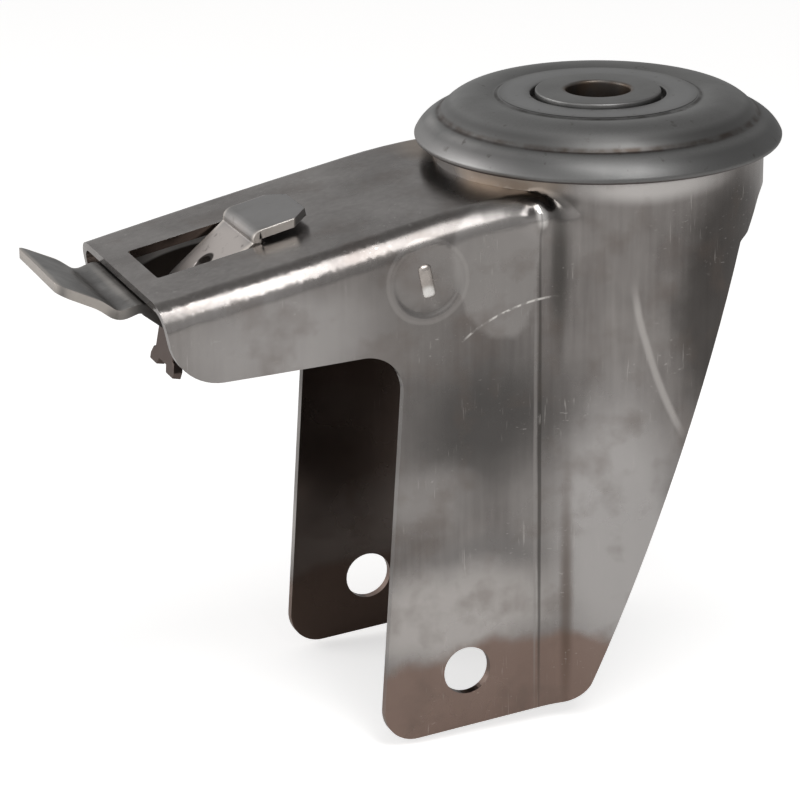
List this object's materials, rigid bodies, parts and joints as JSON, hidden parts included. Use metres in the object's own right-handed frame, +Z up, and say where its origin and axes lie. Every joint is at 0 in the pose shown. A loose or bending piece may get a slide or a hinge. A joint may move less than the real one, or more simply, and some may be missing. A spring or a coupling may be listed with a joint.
{
  "type": "braked swivel caster fork",
  "caption": "Pressed steel swivel caster fork with a bolt-hole head, a foot brake lever and a toothed brake leaf, for a single wheel between its legs.",
  "frame": {"origin": "centre of the bolt hole at its mouth, in the top face of the hollow rivet, on the swivel axis", "axes": "+Z up along the swivel axis, -X towards the brake pedal, Y along the wheel axle"},
  "size_m": [0.1304, 0.0622, 0.1025],
  "materials": {
    "fork_steel": "polished",
    "head_steel": "satin",
    "brake_steel": "satin",
    "ball_steel": "polished"
  },
  "bodies": {
    "head": {"king_tube": "head_steel", "top_race_cap": "head_steel", "lower_race": "head_steel", "lock_ring": "head_steel"},
    "fork": {"fork_shell": "fork_steel", "pivot_bar": "brake_steel", "upper_balls": "ball_steel", "lower_balls": "ball_steel"},
    "pedal": {"pedal_lever": "brake_steel"},
    "leaf": {"brake_leaf": "brake_steel"}
  },
  "joints": [
    {"name": "swivel", "type": "hinge", "parent": "head", "child": "fork", "pos_m": [0, 0, 0], "axis": [0, 0, 1], "continuous": true},
    {"name": "pedal_press", "type": "hinge", "parent": "fork", "child": "pedal", "pos_m": [-0.041, 0, -0.0222], "axis": [0, -1, 0], "range_deg": [0, 14]},
    {"name": "leaf_press", "type": "hinge", "parent": "fork", "child": "leaf", "pos_m": [-0.0643, 0, -0.0172], "axis": [0, -1, 0], "range_deg": [0, 14.6]}
  ],
  "couplings": [
    {"joint": "leaf_press", "follows": "pedal_press", "ratio": 1.04}
  ]
}
